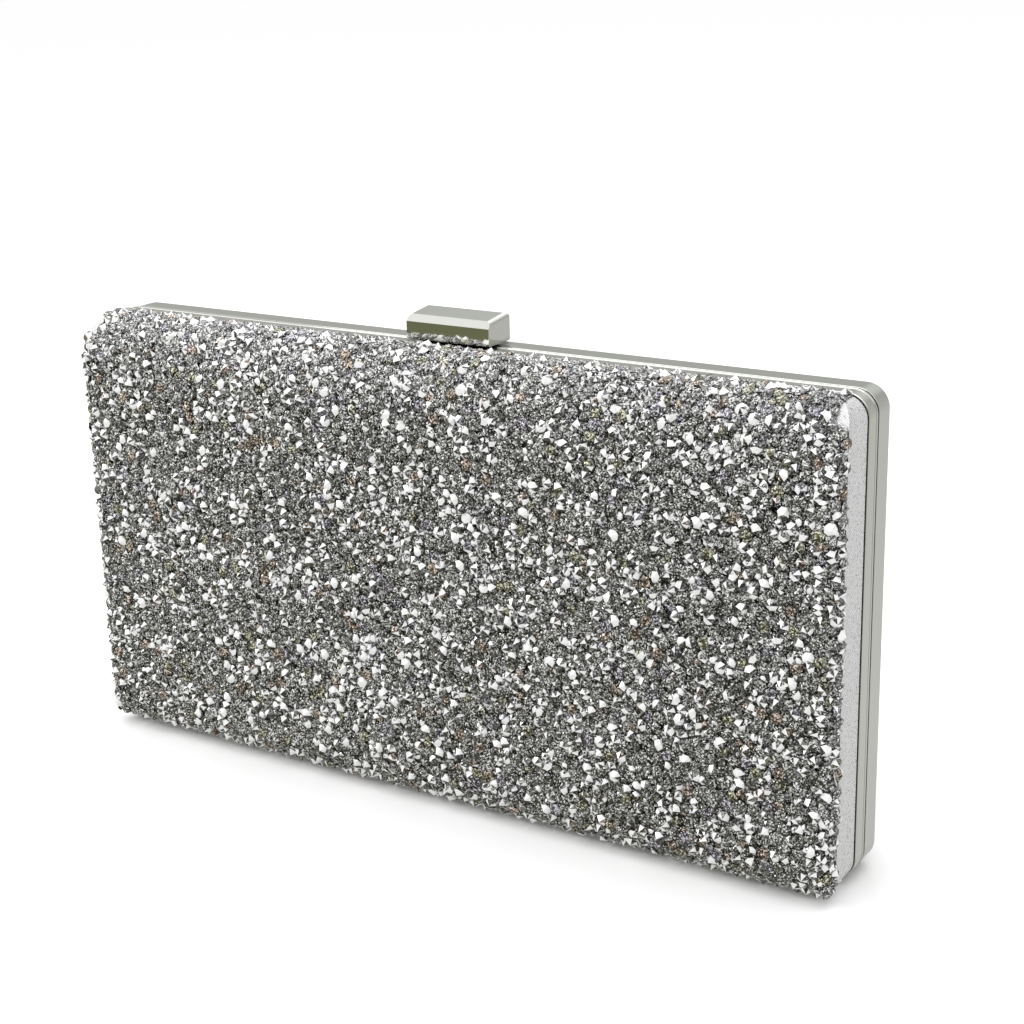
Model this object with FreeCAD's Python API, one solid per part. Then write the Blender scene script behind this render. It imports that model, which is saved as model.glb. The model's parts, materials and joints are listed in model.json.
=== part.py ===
import FreeCAD, Part
import math
import os
from dataclasses import dataclass

# Evening bag: a rigid box clutch. Two covered trays sit in two metal frame halves that
# meet on the plane Y = 0, hinge along the bottom and close with a lever clasp on top.
# Both halves are equally deep. The front tray is nearly flush with the frame. The rear
# tray stays inside the frame's outline and has rounder ends.
# Millimetres. +X along the length, -Y to the front, +Z up. The origin is on the surface
# that the bag stands on, under the middle of the parting line.

# ---- Driving dimensions ----

# Frame halves
frame_length = 200.0
frame_height = 105.0
front_frame_depth = 4.4
front_frame_edge_radius = 0.3
rear_frame_depth = 6.6
rear_frame_edge_radius = 1.0
frame_corner_radius = 5.0
frame_wall = 1.2
flange_width = 3.4
flange_thickness = 1.2
parting_gap = 1.0
parting_chamfer = 0.1
bead_width = 0.5
bead_height = 0.14
bead_bevel = 0.13

# Front tray: its depth beyond the frame, its distance in from the frame's outline, and how
# far its shoulder stands beyond the frame's edge
front_tray_depth = 14.6
front_set_back = 0.6
front_shoulder_stand = 0.5
front_roll_depth = 11.0
front_roll_height = 20.0
front_bottom_roll = 8.0
front_end_radius = 4.0
front_crystal_margin = 3.5
front_crystal_wrap = 3.5

# Rear tray, whose shoulder stays inside the frame
rear_tray_depth = 12.4
rear_set_back = 2.6
rear_shoulder_stand = -0.5
rear_roll_depth = 12.0
rear_roll_height = 20.0
rear_bottom_roll = 8.0
rear_end_radius = 12.0
rear_crystal_margin = 7.5
rear_crystal_wrap = 2.0

# Layers of both trays
tray_wall = 1.8
fabric_thickness = 0.3
crystal_thickness = 1.4
sheet_gap = 0.3
glue_gap = 0.1

# Inside
foam_thickness = 0.8
lining_thickness = 0.5
pocket_length = 110.0
pocket_height = 52.0
pocket_room = 1.4
pocket_cloth = 0.5

# Hinges
hinge_offset = 62.0
knuckle_length = 6.0
knuckle_radius = 1.0
knuckle_gap = 0.15
knuckle_foot_gap = 0.1
hinge_pin_radius = 0.55
running_clearance = 0.05

# Clasp
clasp_length = 22.0
clasp_front = 3.6
clasp_rear = 5.0
clasp_brow_height = 5.45
clasp_rear_height = 6.35
clasp_lift = 0.6
clasp_bevel_depth = 1.2
clasp_bevel_height = 1.55
clasp_round = 1.1
clasp_front_wall = 1.2
clasp_rear_wall = 0.8
clasp_end_wall = 2.0
clasp_roof = 1.35
clasp_heel_bevel = 0.4
pivot_y = 3.0
pivot_rise = 2.0
clasp_pin_radius = 0.7
clasp_pin_seat = 1.2
tongue_length = 11.0
tongue_thickness = 0.85
tongue_depth = 1.0
tongue_clearance = 0.1
slot_end_clearance = 0.5
slot_front_y = 3.4
base_length = 16.0
base_thickness = 0.7
base_front_y = 0.6
base_rear_y = 3.1
ear_thickness = 1.0
ear_radius = 1.1
rivet_offset = 5.0
rivet_radius = 0.6
rivet_head_radius = 0.9
rivet_head_height = 0.35
rivet_y = 1.6
fit_gap = 0.02
spring_wire_radius = 0.18
spring_coil_radius = 0.95
spring_turns = 7
spring_pitch = 0.33
spring_tip_y = 0.8

# ---- Derived places ----

cover_thickness = crystal_thickness + fabric_thickness
frame_bottom = cover_thickness - front_set_back
frame_top = frame_bottom + frame_height
half_length = frame_length / 2
half_gap = parting_gap / 2

# Depths of the layers below the outer face of the crystals
fabric_layer = crystal_thickness
tray_layer = fabric_layer + fabric_thickness
tray_inner_layer = tray_layer + tray_wall
foam_layer = tray_inner_layer + glue_gap
foam_inner_layer = foam_layer + foam_thickness
lining_layer = foam_inner_layer + glue_gap
lining_inner_layer = lining_layer + lining_thickness

rim_y = -(half_gap + flange_thickness + glue_gap)
spigot_inset = frame_wall + glue_gap
smallest_radius = 0.4
reach = frame_length
tolerance = 1e-4

hinge_z = knuckle_radius + knuckle_foot_gap
knuckle_cut_radius = knuckle_radius + knuckle_gap
clasp_bottom = frame_top + clasp_lift
pivot_z = clasp_bottom + pivot_rise
clasp_brow = clasp_bottom + clasp_brow_height
clasp_top = clasp_bottom + clasp_rear_height
clasp_ceiling = clasp_brow - clasp_roof
tongue_front_y = -(clasp_front - clasp_front_wall)
tongue_rear_y = tongue_front_y + tongue_thickness

X_AXIS = FreeCAD.Vector(1, 0, 0)
Y_AXIS = FreeCAD.Vector(0, 1, 0)
Z_AXIS = FreeCAD.Vector(0, 0, 1)
ORIGIN = FreeCAD.Vector(0, 0, 0)


@dataclass(frozen=True)
class Half:
    """The form of one half of the bag, described as if it were the front one."""

    frame_depth: float
    frame_edge_radius: float
    tray_depth: float
    set_back: float
    shoulder_stand: float
    roll_depth: float
    roll_height: float
    bottom_roll: float
    end_radius: float
    crystal_margin: float
    crystal_wrap: float

    @property
    def front(self):
        """Y of the crystals' outer face."""
        return -(self.frame_depth + self.tray_depth)

    @property
    def inset(self):
        """How far the crystals' outer face lies inside the frame's outline."""
        return self.set_back - cover_thickness

    @property
    def shoulder_y(self):
        """Y of the tray's shoulder, where the fabric starts."""
        return -(self.frame_depth + self.shoulder_stand)

    @property
    def sheet_rim_y(self):
        """Y where the crystals may start, clear of the frame and the shoulder."""
        return min(self.shoulder_y, -self.frame_depth) - sheet_gap


FRONT = Half(
    frame_depth=front_frame_depth,
    frame_edge_radius=front_frame_edge_radius,
    tray_depth=front_tray_depth,
    set_back=front_set_back,
    shoulder_stand=front_shoulder_stand,
    roll_depth=front_roll_depth,
    roll_height=front_roll_height,
    bottom_roll=front_bottom_roll,
    end_radius=front_end_radius,
    crystal_margin=front_crystal_margin,
    crystal_wrap=front_crystal_wrap,
)
REAR = Half(
    frame_depth=rear_frame_depth,
    frame_edge_radius=rear_frame_edge_radius,
    tray_depth=rear_tray_depth,
    set_back=rear_set_back,
    shoulder_stand=rear_shoulder_stand,
    roll_depth=rear_roll_depth,
    roll_height=rear_roll_height,
    bottom_roll=rear_bottom_roll,
    end_radius=rear_end_radius,
    crystal_margin=rear_crystal_margin,
    crystal_wrap=rear_crystal_wrap,
)


# ---- Shared shapes ----

def box(x_low, x_high, y_low, y_high, z_low, z_high):
    """A block between two corners."""
    corner = FreeCAD.Vector(x_low, y_low, z_low)
    return Part.makeBox(x_high - x_low, y_high - y_low, z_high - z_low, corner)


def rod(radius, start, end):
    """A round bar from one point to another."""
    path = end.sub(start)
    return Part.makeCylinder(radius, path.Length, start, path)


def bar_along_x(radius, x_low, x_high, y, z):
    """A round bar that runs along X."""
    start = FreeCAD.Vector(x_low, y, z)
    end = FreeCAD.Vector(x_high, y, z)
    return rod(radius, start, end)


def edges_along(shape, axis):
    """The straight edges of a shape that run along an axis."""
    found = []
    for edge in shape.Edges:
        direction = edge.Vertexes[-1].Point.sub(edge.Vertexes[0].Point)
        if direction.Length > 0 and direction.cross(axis).Length < 1e-6 * direction.Length:
            found.append(edge)
    return found


def edges_near(shape, low, high):
    """The edges whose middle lies between two corners."""
    found = []
    for edge in shape.Edges:
        middle = edge.BoundBox.Center
        inside_x = low.x - tolerance <= middle.x <= high.x + tolerance
        inside_y = low.y - tolerance <= middle.y <= high.y + tolerance
        inside_z = low.z - tolerance <= middle.z <= high.z + tolerance
        if inside_x and inside_y and inside_z:
            found.append(edge)
    return found


def outline_block(inset, y_low, y_high):
    """The rounded frame outline, set in by an amount, between two depths."""
    half = half_length - inset
    block = box(-half, half, y_low, y_high, frame_bottom + inset, frame_top - inset)
    radius = max(frame_corner_radius - inset, smallest_radius)
    return block.makeFillet(radius, edges_along(block, Y_AXIS))


def side_block(half, layer):
    """The side profile of a half, at a depth below the crystals, along the bag."""
    top = frame_top - half.inset - layer
    bottom = frame_bottom + half.inset + layer
    front = half.front + layer
    roll_y = half.front + half.roll_depth
    roll_z = frame_top - half.inset - half.roll_height
    bottom_radius = half.bottom_roll - layer
    slant = bottom_radius * math.sqrt(0.5)

    open_top = FreeCAD.Vector(-reach, 0, top)
    open_bottom = FreeCAD.Vector(-reach, 0, bottom)
    roll_centre = FreeCAD.Vector(-reach, roll_y, roll_z)
    roll_top = FreeCAD.Vector(-reach, roll_y, top)
    roll_front = FreeCAD.Vector(-reach, front, roll_z)
    low_front = FreeCAD.Vector(-reach, front, bottom + bottom_radius)
    low_middle = FreeCAD.Vector(-reach, front + bottom_radius - slant, bottom + bottom_radius - slant)
    low_end = FreeCAD.Vector(-reach, front + bottom_radius, bottom)

    top_curve = Part.Ellipse(roll_top, roll_front, roll_centre)
    edges = [
        Part.makeLine(open_top, roll_top),
        Part.ArcOfEllipse(top_curve, 0, math.pi / 2).toShape(),
        Part.makeLine(roll_front, low_front),
        Part.Arc(low_front, low_middle, low_end).toShape(),
        Part.makeLine(low_end, open_bottom),
        Part.makeLine(open_bottom, open_top),
    ]
    face = Part.Face(Part.Wire(Part.__sortEdges__(edges)))
    return face.extrude(X_AXIS * (2 * reach))


def plan_block(half, layer):
    """The plan of a half, at a depth below the crystals, with rounded front edges."""
    half_plan = half_length - half.inset - layer
    front = half.front + layer
    block = box(-half_plan, half_plan, front, 0, -reach, reach)
    radius = max(half.end_radius + crystal_thickness - layer, smallest_radius)
    uprights = edges_near(block, FreeCAD.Vector(-reach, front, -1), FreeCAD.Vector(reach, front, 1))
    return block.makeFillet(radius, edges_along(Part.Compound(uprights), Z_AXIS))


def tray_form(half, layer, y_open):
    """The solid form of a half inside a layer, open face at y_open."""
    outline = outline_block(half.inset + layer, -reach, y_open)
    return outline.common(side_block(half, layer)).common(plan_block(half, layer))


def opened(shape):
    """The rear twin of a front piece."""
    return shape.mirror(ORIGIN, Y_AXIS)


def save(name, shape):
    """Writes one node, after checking that it is sound."""
    solids = shape.Solids
    if not solids or not shape.isValid():
        raise RuntimeError(name + " is not a sound solid")
    body = solids[0] if len(solids) == 1 else Part.Compound(solids)
    body.exportStep("parts/" + name + ".step")
    print(name, len(solids), "solid(s)", round(body.Volume, 2), "mm3")


# ---- Frame halves ----

def frame_ring(half):
    """One frame half with its inward flange at the parting face and its outer edge rounded."""
    band = outline_block(0, -half.frame_depth, -half_gap)
    low = FreeCAD.Vector(-reach, -half_gap, -reach)
    high = FreeCAD.Vector(reach, -half_gap, reach)
    band = band.makeChamfer(parting_chamfer, edges_near(band, low, high))
    low = FreeCAD.Vector(-reach, -half.frame_depth, -reach)
    high = FreeCAD.Vector(reach, -half.frame_depth, reach)
    band = band.makeFillet(half.frame_edge_radius, edges_near(band, low, high))
    flange_y = -(half_gap + flange_thickness)
    band = band.cut(outline_block(frame_wall, -reach, flange_y))
    return band.cut(outline_block(flange_width, -reach, 0))


def parting_bead():
    """The raised bead along the front half's parting edge, bevelled towards the front."""
    front_y = -(half_gap + bead_width)
    bead = outline_block(-bead_height, front_y, -half_gap)
    low = FreeCAD.Vector(-reach, front_y, -reach)
    high = FreeCAD.Vector(reach, front_y, reach)
    bead = bead.makeChamfer(bead_bevel, edges_near(bead, low, high))
    return bead.cut(outline_block(frame_wall, -reach, 0))


def knuckle_spans(side):
    """X spans of the three knuckles of one hinge: rear, front, rear."""
    pitch = knuckle_length + knuckle_gap
    middle = side * hinge_offset
    spans = []
    for place in (-1, 0, 1):
        start = middle + place * pitch - knuckle_length / 2
        spans.append((start, start + knuckle_length))
    return spans


def add_knuckles(ring, own_places, other_places, toward):
    """Adds a half's own knuckles and clears the other half's knuckles."""
    for side in (-1, 1):
        spans = knuckle_spans(side)
        for place in own_places:
            low, high = spans[place]
            barrel = bar_along_x(knuckle_radius, low, high, 0, hinge_z)
            web_y = toward * knuckle_radius
            web_top = hinge_z + frame_wall
            web = box(low, high, min(0, web_y), max(0, web_y), hinge_z, web_top)
            ring = ring.fuse(barrel.fuse(web))
        for place in other_places:
            low, high = spans[place]
            room = bar_along_x(knuckle_cut_radius, low - knuckle_gap, high + knuckle_gap, 0, hinge_z)
            slot_y = knuckle_cut_radius
            slot_top = hinge_z + frame_wall + knuckle_gap
            slot = box(low - knuckle_gap, high + knuckle_gap, -slot_y, slot_y, hinge_z - slot_y, slot_top)
            ring = ring.cut(room.fuse(slot))
    return ring


def bore_knuckles(ring, clearance):
    """Drills the pin holes through a half's knuckles."""
    for side in (-1, 1):
        spans = knuckle_spans(side)
        hole = bar_along_x(hinge_pin_radius + clearance, spans[0][0], spans[2][1], 0, hinge_z)
        ring = ring.cut(hole)
    return ring


def front_frame():
    """The front frame half, with its bead and a slot for the clasp's tongue."""
    ring = add_knuckles(frame_ring(FRONT).fuse(parting_bead()), (1,), (0, 2), -1)
    ring = bore_knuckles(ring, running_clearance)
    slot_half = tongue_length / 2 + slot_end_clearance
    slot_rear_y = tongue_rear_y + tongue_clearance
    slot = box(-slot_half, slot_half, -slot_front_y, slot_rear_y, frame_top - frame_wall, frame_top + 1)
    return ring.cut(slot).removeSplitter()


def rear_frame():
    """The rear frame half, with blind holes for the clasp's rivets."""
    ring = add_knuckles(opened(frame_ring(REAR)), (0, 2), (1,), 1)
    ring = bore_knuckles(ring, fit_gap)
    for side in (-1, 1):
        ring = ring.cut(rivet_shank(side, rivet_radius + fit_gap, 0))
    return ring.removeSplitter()


def hinge_pin(side):
    """The pin of one hinge, as long as its three knuckles."""
    spans = knuckle_spans(side)
    return bar_along_x(hinge_pin_radius, spans[0][0], spans[2][1], 0, hinge_z)


# ---- Trays and their layers ----

def tray(half):
    """A moulded tray, stepped where it sits inside the frame."""
    outer = tray_form(half, tray_layer, half.shoulder_y)
    spigot = outline_block(spigot_inset, half.shoulder_y, rim_y)
    inner = tray_form(half, tray_inner_layer, 0)
    return outer.fuse(spigot).cut(inner).removeSplitter()


def fabric_cover(half):
    """The glitter fabric bonded over the whole outside of the tray."""
    outer = tray_form(half, fabric_layer, half.shoulder_y)
    return outer.cut(tray_form(half, tray_layer, 0))


def crystal_sheet(half):
    """The crystal sheet over the broad face, the top and bottom rolls and the end edges."""
    outer = tray_form(half, 0, half.sheet_rim_y)
    skin = outer.cut(tray_form(half, fabric_layer, 0))
    sheet_half = half_length - half.crystal_margin
    wrap_y = half.front + half.crystal_wrap
    middle = box(-sheet_half, sheet_half, -reach, 0, -reach, reach)
    wrapped = box(-reach, reach, -reach, wrap_y, -reach, reach)
    return skin.common(middle.fuse(wrapped))


def foam_pad(half):
    """The thin foam between the tray and the lining."""
    outer = tray_form(half, foam_layer, rim_y)
    return outer.cut(tray_form(half, foam_inner_layer, 0))


def lining(half):
    """The satin lining inside the foam."""
    outer = tray_form(half, lining_layer, rim_y)
    return outer.cut(tray_form(half, lining_inner_layer, 0))


def lining_pocket():
    """A slip pocket sewn on the rear lining: open at the top."""
    back = -REAR.front - lining_inner_layer
    face = back - pocket_room - pocket_cloth
    low = frame_bottom + REAR.inset + lining_inner_layer + REAR.bottom_roll
    half_panel = pocket_length / 2
    panel = box(-half_panel, half_panel, face, back, low, low + pocket_height)
    room_half = half_panel - pocket_cloth
    room = box(-room_half, room_half, face + pocket_cloth, back, low + pocket_cloth, reach)
    return panel.cut(room)


# ---- Clasp ----

def clasp_block():
    """The lever block: bevelled in front, rounded at the ends and rear, hollow below."""
    half = clasp_length / 2
    front = -clasp_front
    profile = [
        (front, clasp_bottom),
        (front, clasp_brow - clasp_bevel_height),
        (front + clasp_bevel_depth, clasp_brow),
        (clasp_rear, clasp_top),
        (clasp_rear, clasp_bottom + clasp_heel_bevel),
        (clasp_rear - clasp_heel_bevel, clasp_bottom),
    ]
    points = [FreeCAD.Vector(-half, y, z) for y, z in profile]
    block = Part.Face(Part.makePolygon(points + points[:1])).extrude(X_AXIS * clasp_length)
    rear_edge = FreeCAD.Vector(0, clasp_rear, clasp_top)
    rounded = edges_near(block, rear_edge, rear_edge)
    for end in (-half, half):
        low = FreeCAD.Vector(end, front / 2, clasp_brow)
        high = FreeCAD.Vector(end, clasp_rear / 2, clasp_top)
        rounded += edges_near(block, low, high)
    block = block.makeFillet(clasp_round, rounded)
    room_half = half - clasp_end_wall
    room_front = -(clasp_front - clasp_front_wall)
    room_rear = clasp_rear - clasp_rear_wall
    room = box(-room_half, room_half, room_front, room_rear, clasp_bottom - 1, clasp_ceiling)
    seat_half = room_half + clasp_pin_seat
    seats = bar_along_x(clasp_pin_radius + running_clearance, -seat_half, seat_half, pivot_y, pivot_z)
    return block.cut(room).cut(seats)


def clasp_tongue():
    """The steel tongue behind the block's front wall, which drops into the front frame."""
    half = tongue_length / 2
    return box(-half, half, tongue_front_y, tongue_rear_y, frame_top - tongue_depth, clasp_ceiling)


def clasp_pin():
    """The pin through the base's ears, with its ends in the block's seats."""
    half = clasp_length / 2 - clasp_end_wall + clasp_pin_seat - running_clearance
    return bar_along_x(clasp_pin_radius, -half, half, pivot_y, pivot_z)


def clasp_base():
    """The plate on the rear frame, with an ear at each end for the pin."""
    half = base_length / 2
    plate = box(-half, half, base_front_y, base_rear_y, frame_top, frame_top + base_thickness)
    for side in (-1, 1):
        outer_x = side * half
        inner_x = side * (half - ear_thickness)
        x_low = min(outer_x, inner_x)
        x_high = max(outer_x, inner_x)
        stem = box(x_low, x_high, pivot_y - ear_radius, base_rear_y, frame_top, pivot_z)
        eye = bar_along_x(ear_radius, x_low, x_high, pivot_y, pivot_z)
        plate = plate.fuse(stem.fuse(eye))
        plate = plate.cut(rivet_shank(side, rivet_radius + fit_gap, base_thickness))
    hole = bar_along_x(clasp_pin_radius + fit_gap, -half, half, pivot_y, pivot_z)
    return plate.cut(hole).removeSplitter()


def rivet_shank(side, radius, height):
    """The round space of one rivet, from inside the frame's top to a height above it."""
    start = FreeCAD.Vector(side * rivet_offset, rivet_y, frame_top - frame_wall)
    end = FreeCAD.Vector(side * rivet_offset, rivet_y, frame_top + height)
    return rod(radius, start, end)


def clasp_rivets():
    """The two rivets that hold the base on the rear frame."""
    rivets = []
    for side in (-1, 1):
        shank = rivet_shank(side, rivet_radius, base_thickness)
        head_low = FreeCAD.Vector(side * rivet_offset, rivet_y, frame_top + base_thickness)
        head_high = head_low.add(Z_AXIS * rivet_head_height)
        head = rod(rivet_head_radius, head_low, head_high)
        rivets.append(shank.fuse(head).removeSplitter())
    return Part.Compound(rivets)


def clasp_spring():
    """The close-wound torsion spring round the pin, one leg on the base and one under the roof."""
    half = (spring_turns - 1) * spring_pitch / 2
    leg_rest = spring_wire_radius + fit_gap
    low_start = FreeCAD.Vector(-half, pivot_y, pivot_z - spring_coil_radius)
    low_tip = FreeCAD.Vector(-half, spring_tip_y, frame_top + base_thickness + leg_rest)
    high_start = FreeCAD.Vector(half, pivot_y + spring_coil_radius, pivot_z)
    high_tip = FreeCAD.Vector(half, pivot_y + spring_coil_radius, clasp_ceiling - fit_gap)
    low_leg = rod(spring_wire_radius, low_start, low_tip)
    high_leg = rod(spring_wire_radius, high_start, high_tip)
    spring = low_leg
    for turn in range(spring_turns):
        centre = FreeCAD.Vector(turn * spring_pitch - half, pivot_y, pivot_z)
        ring = Part.makeTorus(spring_coil_radius, spring_wire_radius, centre, X_AXIS)
        spring = spring.fuse(ring)
    return spring.fuse(high_leg)


def main():
    os.makedirs("parts", exist_ok=True)

    save("front_frame", front_frame())
    save("rear_frame", rear_frame())
    save("left_hinge_pin", hinge_pin(-1))
    save("right_hinge_pin", hinge_pin(1))

    layers = {
        "tray": tray,
        "fabric_cover": fabric_cover,
        "crystal_sheet": crystal_sheet,
        "foam_pad": foam_pad,
        "lining": lining,
    }
    for name, make in layers.items():
        save("front_" + name, make(FRONT))
        save("rear_" + name, opened(make(REAR)))
    save("lining_pocket", lining_pocket())

    save("clasp_block", clasp_block())
    save("clasp_tongue", clasp_tongue())
    save("clasp_pin", clasp_pin())
    save("clasp_base", clasp_base())
    save("clasp_rivets", clasp_rivets())
    save("clasp_spring", clasp_spring())


main()
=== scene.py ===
"""Looks of a crystal-covered box clutch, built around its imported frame.

Metres. +X runs along the bag, -Y points to the front and +Z up. The origin is on the
surface that the bag stands on, under the middle of the parting line.
"""

import json
import logging
import math
from collections import defaultdict
from collections.abc import Callable
from dataclasses import dataclass, field
from enum import Enum

import bpy
import numpy as np
from mathutils import Matrix, Quaternion, Vector


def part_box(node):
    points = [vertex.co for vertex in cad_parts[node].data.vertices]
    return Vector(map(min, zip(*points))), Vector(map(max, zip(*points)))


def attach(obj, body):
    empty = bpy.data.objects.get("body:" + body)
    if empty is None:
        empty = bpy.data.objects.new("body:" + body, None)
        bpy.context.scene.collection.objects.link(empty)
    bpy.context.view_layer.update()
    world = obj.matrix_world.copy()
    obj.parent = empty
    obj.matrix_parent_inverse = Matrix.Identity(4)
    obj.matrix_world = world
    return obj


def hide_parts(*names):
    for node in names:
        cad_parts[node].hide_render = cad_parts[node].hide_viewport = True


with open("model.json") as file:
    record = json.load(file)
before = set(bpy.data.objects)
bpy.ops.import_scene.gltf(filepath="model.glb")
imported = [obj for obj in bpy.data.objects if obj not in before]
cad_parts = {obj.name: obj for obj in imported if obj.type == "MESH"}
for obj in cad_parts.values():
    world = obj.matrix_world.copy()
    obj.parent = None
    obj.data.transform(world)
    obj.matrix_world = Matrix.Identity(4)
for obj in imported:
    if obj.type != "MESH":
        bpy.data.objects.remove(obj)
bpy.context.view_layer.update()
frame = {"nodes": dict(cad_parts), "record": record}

MM = 0.001
STONE_TINT = "stone_tint"

# Thickness of each layer over a tray
COVER_THICKNESS = 0.3 * MM
FOAM_THICKNESS = 0.8 * MM
LINING_THICKNESS = 0.4 * MM

log = logging.getLogger("evening_bag")

Colour = tuple[float, float, float, float]
Test = Callable[[Vector], bool]


class Half(Enum):
    """The two halves of the bag."""

    FRONT = "front"
    REAR = "rear"

    @property
    def body(self) -> str:
        """The CAD body that this half's pieces ride on."""
        return f"{self.value}_half"

    def node(self, part: str) -> str:
        """The name of this half's CAD node for a part."""
        return f"{self.value}_{part}"


class Element(Enum):
    """What a test on places selects in a mesh."""

    EDGE = (False, True, False)
    FACE = (False, False, True)


class Cut(Enum):
    """The two ways that a crystal is seated on the sheet."""

    POINTED = "pointed"
    TABLE = "table"


# ---- Modelling steps ----

def activate(piece: bpy.types.Object) -> None:
    """Makes a piece the only selected object."""
    bpy.ops.object.select_all(action="DESELECT")
    piece.select_set(True)
    bpy.context.view_layer.objects.active = piece


def settle(piece: bpy.types.Object, name: str) -> bpy.types.Object:
    """Names a piece and puts its place into its mesh.

    Args:
        piece: A new object.
        name: Its name, which its mesh takes too.

    Returns:
        The same object, at the origin, unturned and unscaled.
    """
    activate(piece)
    bpy.ops.object.transform_apply(location=True, rotation=True, scale=True)
    piece.name = name
    piece.data.name = name
    return piece


def pick(piece: bpy.types.Object, element: Element, test: Test) -> None:
    """Selects the edges or faces of a mesh by the place of their middle.

    Args:
        piece: The mesh object, in object mode.
        element: Whether edges or faces are looked at.
        test: Says whether a middle point is wanted.
    """
    activate(piece)
    mesh = piece.data
    for group in (mesh.vertices, mesh.edges, mesh.polygons):
        group.foreach_set("select", [False] * len(group))
    if element is Element.EDGE:
        for edge in mesh.edges:
            ends = [mesh.vertices[i].co for i in edge.vertices]
            edge.select = test((ends[0] + ends[1]) / 2)
    else:
        for face in mesh.polygons:
            face.select = test(face.center)
    bpy.context.tool_settings.mesh_select_mode = element.value


def edit(piece: bpy.types.Object, step: Callable[[], object]) -> None:
    """Runs one edit-mode step on a piece's selection."""
    bpy.context.view_layer.objects.active = piece
    bpy.ops.object.mode_set(mode="EDIT")
    step()
    bpy.ops.object.mode_set(mode="OBJECT")


def everywhere(_: Vector) -> bool:
    """A test that every place passes."""
    return True


def add_block(name: str, low: Vector, high: Vector) -> bpy.types.Object:
    """A block between two corners."""
    bpy.ops.object.select_all(action="DESELECT")
    bpy.ops.mesh.primitive_cube_add(size=1, location=(low + high) / 2)
    block = bpy.context.object
    block.scale = high - low
    return settle(block, name)


def round_edges(piece: bpy.types.Object, test: Test, radius: float, steps: int) -> None:
    """Rounds the edges whose middle passes a test."""
    pick(piece, Element.EDGE, test)
    edit(piece, lambda: bpy.ops.mesh.bevel(offset=radius, segments=steps, affect="EDGES"))


def cut_plane(piece: bpy.types.Object, place: Vector, normal: Vector) -> None:
    """Splits every face of a piece along a plane."""
    pick(piece, Element.FACE, everywhere)
    edit(piece, lambda: bpy.ops.mesh.bisect(plane_co=place, plane_no=normal))


def remove_faces(piece: bpy.types.Object, test: Test) -> None:
    """Deletes the faces whose middle passes a test."""
    pick(piece, Element.FACE, test)
    edit(piece, lambda: bpy.ops.mesh.delete(type="FACE"))


def apply_modifier(piece: bpy.types.Object, kind: str, **settings: object) -> None:
    """Adds a modifier with its settings and applies it."""
    activate(piece)
    modifier = piece.modifiers.new(kind.title(), kind)
    for key, value in settings.items():
        setattr(modifier, key, value)
    bpy.ops.object.modifier_apply(modifier=modifier.name)


def smooth(piece: bpy.types.Object, degrees: float = 35.0) -> None:
    """Shades a piece smooth, apart from edges sharper than an angle, with flat faces flat."""
    activate(piece)
    bpy.ops.object.shade_smooth_by_angle(angle=math.radians(degrees))
    apply_modifier(piece, "WEIGHTED_NORMAL", keep_sharp=True)


def dress(piece: bpy.types.Object, finish: bpy.types.Material, body: str) -> None:
    """Gives a new piece its material and the body it rides on."""
    piece.data.materials.clear()
    piece.data.materials.append(finish)
    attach(piece, body)
    log.info("%s: %d faces", piece.name, len(piece.data.polygons))


# ---- Node trees ----

@dataclass
class NodeDesk:
    """Lays nodes out in a tree."""

    tree: bpy.types.NodeTree

    def add(self, kind: str, inputs: dict | None = None, **settings: object) -> bpy.types.Node:
        """Adds one node.

        Args:
            kind: The node's type name.
            inputs: Values or sockets for its inputs, by name or number.
            settings: The node's own properties.

        Returns:
            The new node.
        """
        node = self.tree.nodes.new(kind)
        for key, value in settings.items():
            setattr(node, key, value)
        for key, value in (inputs or {}).items():
            if isinstance(value, bpy.types.NodeSocket):
                self.tree.links.new(value, node.inputs[key])
            else:
                node.inputs[key].default_value = value
        return node

    def math(self, operation: str, *values: object) -> bpy.types.NodeSocket:
        """The result of a Math node on numbers or sockets."""
        node = self.add("ShaderNodeMath", dict(enumerate(values)), operation=operation)
        return node.outputs[0]

    def vector(self, operation: str, *values: object) -> bpy.types.Node:
        """A Vector Math node on vectors or sockets."""
        return self.add("ShaderNodeVectorMath", dict(enumerate(values)), operation=operation)

    def spread(self, value: bpy.types.NodeSocket, low: float, high: float) -> bpy.types.NodeSocket:
        """A 0 to 1 value spread over another range."""
        node = self.add("ShaderNodeMapRange", {"Value": value, "To Min": low, "To Max": high})
        return node.outputs["Result"]

    def ramp(self, value: bpy.types.NodeSocket, *stops: tuple[float, Colour]) -> bpy.types.NodeSocket:
        """A colour ramp with the given stops."""
        node = self.add("ShaderNodeValToRGB", {"Fac": value})
        elements = node.color_ramp.elements
        while len(elements) < len(stops):
            elements.new(0.5)
        for element, (place, colour) in zip(elements, stops):
            element.position = place
            element.color = colour
        return node.outputs["Color"]

    def mix(self, factor: object, first: object, second: object, blend: str = "MIX") -> bpy.types.NodeSocket:
        """Two colours mixed."""
        node = self.tree.nodes.new("ShaderNodeMix")
        node.data_type = "RGBA"
        node.blend_type = blend
        sockets = (node.inputs[0], node.inputs[6], node.inputs[7])
        for socket, value in zip(sockets, (factor, first, second)):
            if isinstance(value, bpy.types.NodeSocket):
                self.tree.links.new(value, socket)
            else:
                socket.default_value = value
        return node.outputs[2]

    def group(self, tree: bpy.types.NodeTree, inputs: dict) -> bpy.types.Node:
        """A shared effect placed in this tree with its own values."""
        node = self.add("ShaderNodeGroup", node_tree=tree)
        for key, value in inputs.items():
            if isinstance(value, bpy.types.NodeSocket):
                self.tree.links.new(value, node.inputs[key])
            else:
                node.inputs[key].default_value = value
        return node


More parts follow.
